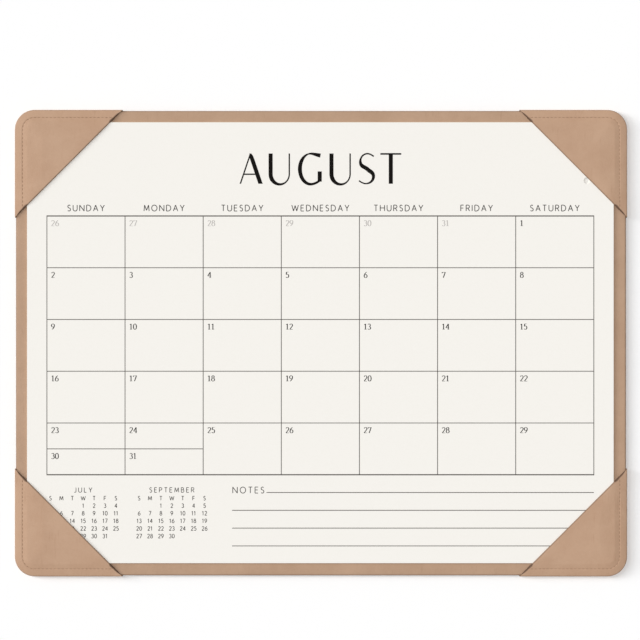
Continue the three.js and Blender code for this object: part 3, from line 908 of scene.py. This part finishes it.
def contrast_pen(thick, thin):
    """Thick where a stroke runs down the page and thin where it runs across, by the power 1.5 of its slope,
    which is the share of its length that goes down."""
    return lambda line: thin + (thick - thin) * np.abs(directions(line)[:, 1]) ** 1.5


def text_ribbons(text, left, base, height, tracking, pen, step=0.05, table=letters):
    """The ribbons of a word: letters are laid side by side from the left, a tracking apart. The step is
    the distance between a stroke's points, as a share of the height."""
    made = []
    for letter in text:
        width, strokes = table[letter]
        for k, stroke in enumerate(strokes):
            line = smooth_stroke(stroke, step) * height + [left, base]
            made.append(ribbon(line, pen(line), ink_layer(k)))
        left += width * height + tracking
    return made


def centred(text, middle, base, height, tracking, pen, step=0.05):
    """A word whose middle is at a given X."""
    width = sum(letters[letter][0] for letter in text) * height + tracking * (len(text) - 1)
    return text_ribbons(text, middle - width / 2, base, height, tracking, pen, step)


def print_piece(name, ribbons, material):
    """One piece from many ribbons: each ribbon is closed round its sides and at both ends."""
    faces, first = [], 0
    for bar in ribbons:
        index = np.arange(len(bar) * 4).reshape(-1, 4) + first
        faces += bar_faces(index)
        first += len(bar) * 4
    made = dressed(mesh_object(name, np.concatenate(ribbons), faces, sharp=None), material)
    return made


# %% Printed rules
rule_width = 0.66 * MM
frame_width = 1.0 * MM
row_count, column_count, split_columns = 5, 7, 2
note_rules = [f"note_rule_{number}" for number in (1, 2, 3, 4)]
low_grid, high_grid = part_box("month_grid")
low_rule, high_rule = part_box("note_rule_2")
rule_half = (high_rule.y - low_rule.y) / 2
frame_inset = 0.325 * MM
grid_left = low_grid.x + rule_half
grid_top = high_grid.y - frame_inset
grid_bottom = low_grid.y + frame_inset
column_width = (high_grid.x - rule_half - grid_left) / column_count
row_depth = (grid_top - grid_bottom) / row_count


def rule(start, end, width=rule_width, order=0):
    """A straight printed rule between two points."""
    return ribbon(np.array([start, end]), np.full(2, width), ink_layer(order))


def make_rules():
    """The month's lattice, the line that splits its last two cells, and the four writing rules."""
    made = []
    for column in range(column_count + 1):
        x = grid_left + column * column_width
        made.append(rule((x, low_grid.y), (x, high_grid.y), order=1))
    for row in range(row_count + 1):
        y = grid_top - row * row_depth
        width = frame_width if row in (0, row_count) else rule_width
        made.append(rule((low_grid.x, y), (high_grid.x, y), width))
    split_x = grid_left + split_columns * column_width
    split_y = grid_bottom + row_depth / 2
    made.append(rule((low_grid.x, split_y), (split_x, split_y)))
    for node in note_rules:
        low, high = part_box(node)
        middle = (low.y + high.y) / 2
        made.append(rule((low.x, middle), (high.x, middle)))
    return made


printed_rules = print_piece("printed_rules", make_rules(), prints["rule_print"])
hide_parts("month_grid", *note_rules)

# %% [markdown]
# The heading
# The month's name stands alone at the head of the page in tall letters of strong contrast, so its
# letters are drawn again with weights along each stroke: down strokes thick, up strokes and bars thin.

# %% The month's name
page_middle_x = (low_leaves.x + high_leaves.x) / 2
page_middle_y = (low_leaves.y + high_leaves.y) / 2
heading_height = 26.4 * MM
heading_base = page_middle_y + 138.55 * MM
heading_thick = 3.6 * MM
heading_thin = 1.22 * MM

heading_letters = {
    "A": [([(0.015, -0.05), (0.368, 1.0)], [(0, 0), (1, 0)]),
          ([(0.352, 1.02), (0.715, -0.05)], [(0, 0.05), (0.12, 0.9), (0.2, 1), (1, 1)]),
          ([(0.135, 0.315), (0.58, 0.315)], [(0, 0), (1, 0)])],
    "U": [([(0.065, 1), (0.065, 0.33), *arc(0.373, 0.32, 0.308, 0.34, 180, 360, 24), (0.681, 1)],
           [(0, 1), (0.36, 1), (0.5, 0.35), (0.6, 0), (1, 0)])],
    "G": [([(0.74, 0.93), *arc(0.42, 0.49, 0.36, 0.51, 72, 285, 30), (0.62, 0.035), (0.73, 0.12)],
           [(0, 1), (0.06, 0.8), (0.2, 0), (0.36, 0.8), (0.5, 1), (0.7, 0.75), (0.85, 0.4), (1, 0.3)]),
          ([(0.715, 0.41), (0.715, 0.07)], [(0, 1), (1, 1)])],
    "S": [([(0.5, 0.9), *arc(0.29, 0.74, 0.24, 0.26, 55, 215, 14), (0.25, 0.52), (0.38, 0.4),
            *arc(0.24, 0.24, 0.255, 0.24, 35, -115, 14), (0.01, 0.1)],
           [(0, 0), (0.26, 0.1), (0.4, 0.9), (0.58, 1), (0.75, 0.4), (0.86, 0), (1, 0)])],
    "T": [([(0, 0.985), (0.69, 0.985)], [(0, 0.1), (1, 0.1)]),
          ([(0.345, 0.985), (0.345, 0)], [(0, 1), (1, 1)])],
}
heading_lefts = np.array([-71.1, -45.6, -20.0, 7.4, 32.8, 51.7]) * MM
heading_step = 0.02


def softened(line, reach):
    """A moving average over a stroke's points, so that arcs and straights flow into one another."""
    window = np.ones(2 * reach + 1) / (2 * reach + 1)
    start = 2 * line[0] - line[reach:0:-1]
    end = 2 * line[-1] - line[-2 : -reach - 2 : -1]
    padded = np.vstack([start, line, end])
    return np.column_stack([np.convolve(padded[:, k], window, "valid") for k in (0, 1)])


def make_heading(text):
    """Each letter's strokes at its place: a stroke's width follows its own weights, given along it as
    pairs of position and weight, from thin at 0 to thick at 1. Slanted ends are cut level at the lines."""
    made = []
    for letter, left in zip(text, heading_lefts):
        for k, (stroke, weights) in enumerate(heading_letters[letter]):
            line = smooth_stroke(stroke, heading_step)
            line = softened(line, 4) if letter in "GS" and k == 0 else line
            line = line * heading_height + [left, heading_base]
            share = np.interp(np.linspace(0, 1, len(line)), *zip(*weights))
            width = heading_thin + (heading_thick - heading_thin) * share
            bar = ribbon(line, width, ink_layer(k))
            if letter == "A":
                bar[..., 1] = np.clip(bar[..., 1], heading_base, heading_base + heading_height)
            made.append(bar)
    return made


print_piece("heading_letters", make_heading("AUGUST"), prints["dark_print"])

# %% [markdown]
# Days and dates
# Seven names stand over the columns. A date sits in the upper left corner of each cell: the last days of
# the month before in faint print, and the last two days share a cell with the week before.

# %% Names of the days
name_height = 5.2 * MM
name_tracking = 2.2 * MM
name_base = grid_top + 4.3 * MM
name_pen = plain_pen(0.7 * MM)
day_names = ["SUNDAY", "MONDAY", "TUESDAY", "WEDNESDAY", "THURSDAY", "FRIDAY", "SATURDAY"]

name_ribbons = []
for column, day in enumerate(day_names):
    name_middle = grid_left + (column + 0.5) * column_width
    name_ribbons += centred(day, name_middle, name_base, name_height, name_tracking, name_pen)
print_piece("day_names", name_ribbons, prints["name_print"])

# %% Dates
date_height = 4.9 * MM
date_tracking = 0.8 * MM
date_inset_x = 4.0 * MM
date_inset_y = 3.8 * MM
date_pen = contrast_pen(0.85 * MM, 0.34 * MM)
date_step = 0.06
first_column = 6
month_days = 31
last_month_days = 31

# Three of the dates' digits have feet or a spur, which the small plain numbers have not.
date_digits = {
    **letters,
    "1": (0.5, [[(0.04, 0.84), (0.25, 0.98)], [(0.25, 1), (0.25, 0)], [(0.06, 0.03), (0.46, 0.03)]]),
    "4": (0.6, [[(0.43, 0), (0.43, 1)], [(0.43, 1), (0, 0.3)], [(0, 0.3), (0.6, 0.3)],
                [(0.28, 0.03), (0.58, 0.03)]]),
    "7": (0.56, [[(0, 0.97), (0.56, 0.97)], [(0.56, 1), (0.2, 0)], [(0.02, 1), (0.02, 0.8)]]),
}


def date_ribbons(number, column, row):
    """A date's digits in the upper left corner of its cell, or of its lower half in a half row."""
    left = grid_left + column * column_width + date_inset_x
    base = grid_top - row * row_depth - date_inset_y - date_height
    text = str(number)
    return text_ribbons(text, left, base, date_height, date_tracking, date_pen, date_step, date_digits)


faint_dates, dates = [], []
for column in range(first_column):
    faint_dates += date_ribbons(last_month_days - first_column + 1 + column, column, 0)
for number in range(1, month_days + 1):
    row, column = divmod(number - 1 + first_column, column_count)
    dates += date_ribbons(number, column, min(row, row_count - 0.5))
print_piece("faint_dates", faint_dates, prints["faint_print"])
print_piece("date_numbers", dates, prints["date_print"])

# %% [markdown]
# Small months and notes
# The months before and after stand small at the foot of the page, and a heading word starts the first
# writing rule. The months are placed from the page's middle, and their rows go down by a fixed pitch.

# %% Small months and the notes heading
small_pitch_x = 9.5 * MM
small_pitch_y = 6.62 * MM
small_height = 3.5 * MM
small_tracking = 0.75 * MM
small_days = "SMTWTFS"
small_days_drop = 6.9 * MM
small_dates_drop = 13.4 * MM
small_pen = plain_pen(0.56 * MM)
small_step = 0.1
title_height = 4.1 * MM
title_tracking = 2.2 * MM
title_base = page_middle_y - 130.2 * MM


def small_month(title, middle, first_day, days):
    """A title over seven initials, with the days counted along rows from the first day's column."""
    def entry(text, column, base):
        x = middle + (column - 3) * small_pitch_x
        return centred(text, x, base, small_height, small_tracking, small_pen, small_step)

    made = centred(title, middle, title_base, title_height, title_tracking, small_pen)
    for column, letter in enumerate(small_days):
        made += entry(letter, column, title_base - small_days_drop)
    for day in range(1, days + 1):
        row, column = divmod(day - 1 + first_day, column_count)
        made += entry(str(day), column, title_base - small_dates_drop - row * small_pitch_y)
    return made


small_ribbons = small_month("JULY", page_middle_x - 206.6 * MM, 3, 31)
small_ribbons += small_month("SEPTEMBER", page_middle_x - 129.4 * MM, 2, 30)
print_piece("small_months", small_ribbons, prints["name_print"])

notes_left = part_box("note_rule_2")[0].x + 0.6 * MM
notes_base = page_middle_y - 130.9 * MM
notes_height = 5.3 * MM
notes_tracking = 2.5 * MM
notes = text_ribbons("NOTES", notes_left, notes_base, notes_height, notes_tracking, plain_pen(0.66 * MM))
print_piece("notes_heading", notes, prints["name_print"])

# %% [markdown]
# Light, floor and camera
# A panel overhead gives the plain light, and a row of soft windows at the left, a little towards the
# head of the page, draws the shadow to the right of the holder. A white surrounding fills the rest.

# %% Floor and surrounding
floor_half = 3.0


def make_floor():
    """A white floor at the height that the holder lies on."""
    mesh = bpy.data.meshes.new("floor")
    corners = [(x * floor_half, y * floor_half, 0) for x, y in ((-1, -1), (1, -1), (1, 1), (-1, 1))]
    mesh.from_pydata(corners, [], [(0, 1, 2, 3)])
    material, _, shader = new_material("white_floor")
    adjust(shader, Base_Color=(0.98, 0.98, 0.98, 1), Roughness=1.0, Specular_IOR_Level=0.0)
    mesh.materials.append(material)
    placed("floor", mesh)


def make_world(fill):
    """An even white surrounding, as strong as fill for light and 1 where the camera or a mirror sees it."""
    world = bpy.data.worlds.new("soft_surrounding")
    world.use_nodes = True
    tree = world.node_tree
    path = tree.nodes.new("ShaderNodeLightPath").outputs
    mirrored = math_node(tree, "MAXIMUM", path["Is Glossy Ray"], path["Is Transmission Ray"])
    seen = math_node(tree, "MAXIMUM", path["Is Camera Ray"], mirrored)
    strength = remapped(tree, seen, (0.0, 1.0), (fill, 1.0))
    adjust(tree.nodes["Background"], Color=(1, 1, 1, 1), Strength=strength)
    bpy.context.scene.world = world


make_floor()
make_world(fill=0.26)
print("floor and surrounding ready")


# %% Suns
def make_sun(name, share, tilt_left, tilt_up, width):
    """A wide sun that gives the floor a share of full light: its strength is pi times that share, divided
    by the height of its direction. Tilts and width are in degrees."""
    lamp = bpy.data.lights.new(name, "SUN")
    made = placed(name, lamp)
    made.rotation_euler = (math.radians(-tilt_up), math.radians(-tilt_left), 0)
    lamp.energy = math.pi * share / made.rotation_euler.to_matrix()[2][2]
    lamp.angle = math.radians(width)


make_sun("overhead_panel", 0.385, 0, 0, 16)
for number, tilt in enumerate((29, 50, 66)):
    make_sun(f"window_{number}", 0.125, tilt, 12, 18)
print("four suns")

# %% Camera
photo_width = 557.7 * MM
photo_middle = (-0.87 * MM, 20.17 * MM)
camera_height = 6.0
camera = placed("camera", bpy.data.cameras.new("camera"))
camera.data.sensor_width = 36
camera.data.lens = 36 * (camera_height - high_cover.z) / photo_width
camera.data.clip_end = 50
camera.location = (*photo_middle, camera_height)
bpy.context.scene.camera = camera
bpy.context.scene.view_settings.view_transform = "Standard"
print("lens", round(camera.data.lens, 1), "mm")
